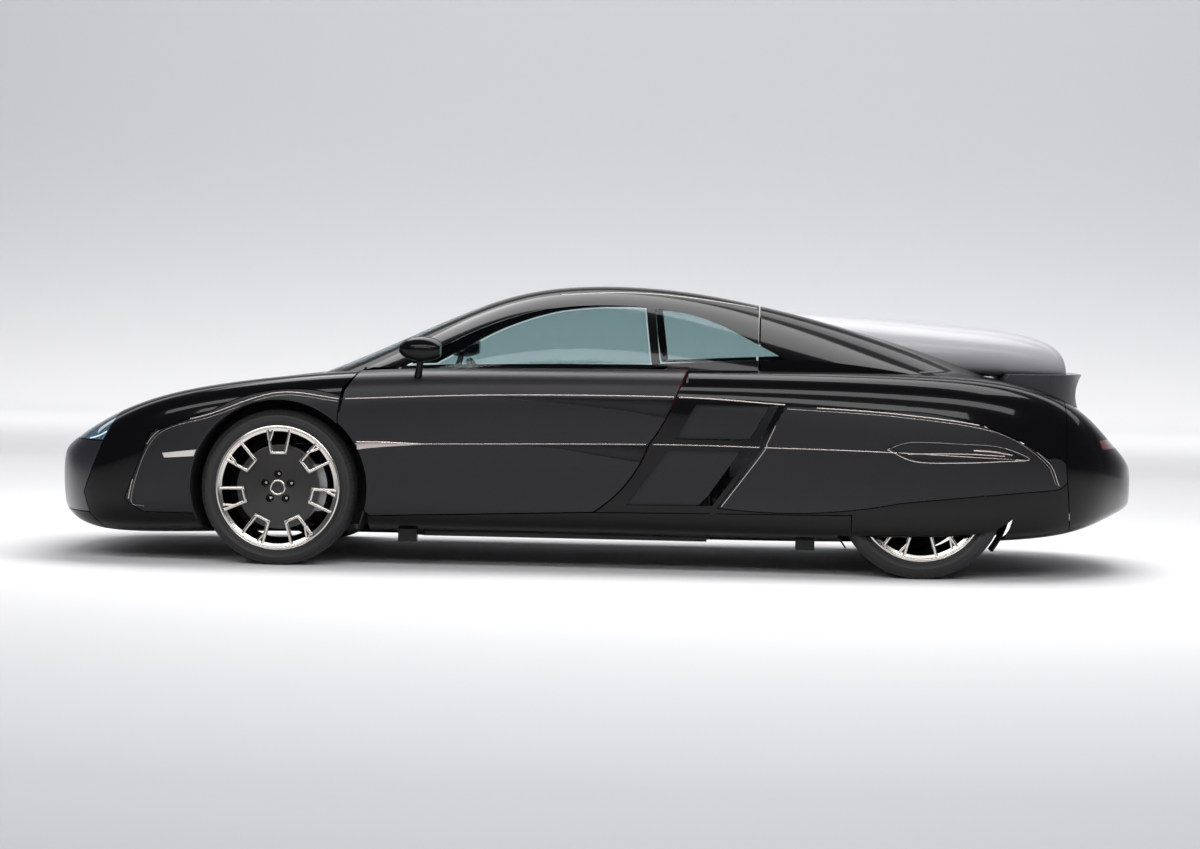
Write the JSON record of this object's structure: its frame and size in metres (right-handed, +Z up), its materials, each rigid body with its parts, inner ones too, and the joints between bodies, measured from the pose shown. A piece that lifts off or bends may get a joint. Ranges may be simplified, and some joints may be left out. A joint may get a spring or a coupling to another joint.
{
  "type": "supercar",
  "caption": "Low two-seat supercar with upward-swinging doors, covered rear wheels, a clear rear deck dome, steered front wheels and a ducktail.",
  "frame": {"origin": "on the floor under the middle of the car", "axes": "+X towards the tail, +Y towards the car's right side, +Z up"},
  "size_m": [4.6231, 2.094, 1.1906],
  "materials": {
    "gloss_black": "deep gloss black paint",
    "satin_weave": "satin dark grey composite",
    "nickel": "warm polished nickel",
    "lamp_glass": "smoked lens",
    "tail_lens": "dark red lens",
    "glass": "tinted",
    "clear_dome": "clear",
    "underbody": "matt black",
    "frame_metal": "satin black",
    "cast_metal": "cast",
    "engine_metal": "cast",
    "red_leather": "red leather",
    "dark_leather": "dark leather",
    "tyre": "rubber",
    "wheel_metal": "satin with polished edges",
    "brake_metal": "ground iron"
  },
  "bodies": {
    "body": {"front_bumper": "gloss_black", "bonnet": "gloss_black", "arch_panels": "satin_weave", "headlamps": "lamp_glass", "fender_right": "gloss_black", "fender_left": "gloss_black", "sills": "gloss_black", "rear_quarter_right": "gloss_black", "rear_quarter_left": "gloss_black", "intake_blades": "satin_weave", "rear_pods": "satin_weave", "rear_bumper": "gloss_black", "underfloor": "underbody", "roof": "gloss_black", "windscreen": "glass", "quarter_glass": "glass", "rear_deck": "gloss_black", "rear_uprights": "cast_metal", "front_arms": "cast_metal", "rear_arms": "cast_metal", "tub": "underbody", "front_frame": "frame_metal", "rear_frame": "frame_metal", "engine_block": "engine_metal", "seats": "red_leather", "dashboard": "dark_leather", "steering_wheel": "dark_leather", "deck_dome": "clear_dome", "spoiler": "satin_weave", "arch_linings": "underbody", "side_lamps": "nickel", "tail_lamps": "tail_lens"},
    "door_right": {"door_right": "satin_weave", "door_glass_right": "glass", "mirror_right": "gloss_black"},
    "steering_right": {"knuckle_right": "cast_metal"},
    "front_wheel_right": {"front_tyre_right": "tyre", "front_rim_right": "wheel_metal", "front_brake_disc_right": "brake_metal"},
    "rear_wheel_right": {"rear_tyre_right": "tyre", "rear_rim_right": "wheel_metal", "rear_brake_disc_right": "brake_metal"},
    "door_left": {"door_left": "satin_weave", "door_glass_left": "glass", "mirror_left": "gloss_black"},
    "steering_left": {"knuckle_left": "cast_metal"},
    "front_wheel_left": {"front_tyre_left": "tyre", "front_rim_left": "wheel_metal", "front_brake_disc_left": "brake_metal"},
    "rear_wheel_left": {"rear_tyre_left": "tyre", "rear_rim_left": "wheel_metal", "rear_brake_disc_left": "brake_metal"}
  },
  "joints": [
    {"name": "door_right_swing", "type": "hinge", "parent": "body", "child": "door_right", "pos_m": [-1.135, 0.902, 0.722], "axis": [0.12, -0.2499, 0.9608], "range_deg": [0, 65]},
    {"name": "steer_right", "type": "hinge", "parent": "body", "child": "steering_right", "pos_m": [-1.315, 0.782, 0.3235], "axis": [0, 0, 1], "range_deg": [-30, 30]},
    {"name": "front_wheel_right_spin", "type": "hinge", "parent": "steering_right", "child": "front_wheel_right", "pos_m": [-1.315, 0.812, 0.3235], "axis": [0, 1, 0], "continuous": true},
    {"name": "rear_wheel_right_spin", "type": "hinge", "parent": "body", "child": "rear_wheel_right", "pos_m": [1.355, 0.758, 0.3455], "axis": [0, 1, 0], "continuous": true},
    {"name": "door_left_swing", "type": "hinge", "parent": "body", "child": "door_left", "pos_m": [-1.135, -0.902, 0.722], "axis": [-0.12, -0.2499, -0.9608], "range_deg": [0, 65]},
    {"name": "steer_left", "type": "hinge", "parent": "body", "child": "steering_left", "pos_m": [-1.315, -0.782, 0.3235], "axis": [0, 0, 1], "range_deg": [-30, 30]},
    {"name": "front_wheel_left_spin", "type": "hinge", "parent": "steering_left", "child": "front_wheel_left", "pos_m": [-1.315, -0.812, 0.3235], "axis": [0, 1, 0], "continuous": true},
    {"name": "rear_wheel_left_spin", "type": "hinge", "parent": "body", "child": "rear_wheel_left", "pos_m": [1.355, -0.758, 0.3455], "axis": [0, 1, 0], "continuous": true}
  ],
  "couplings": [
    {"joint": "steer_left", "follows": "steer_right", "ratio": 1}
  ]
}
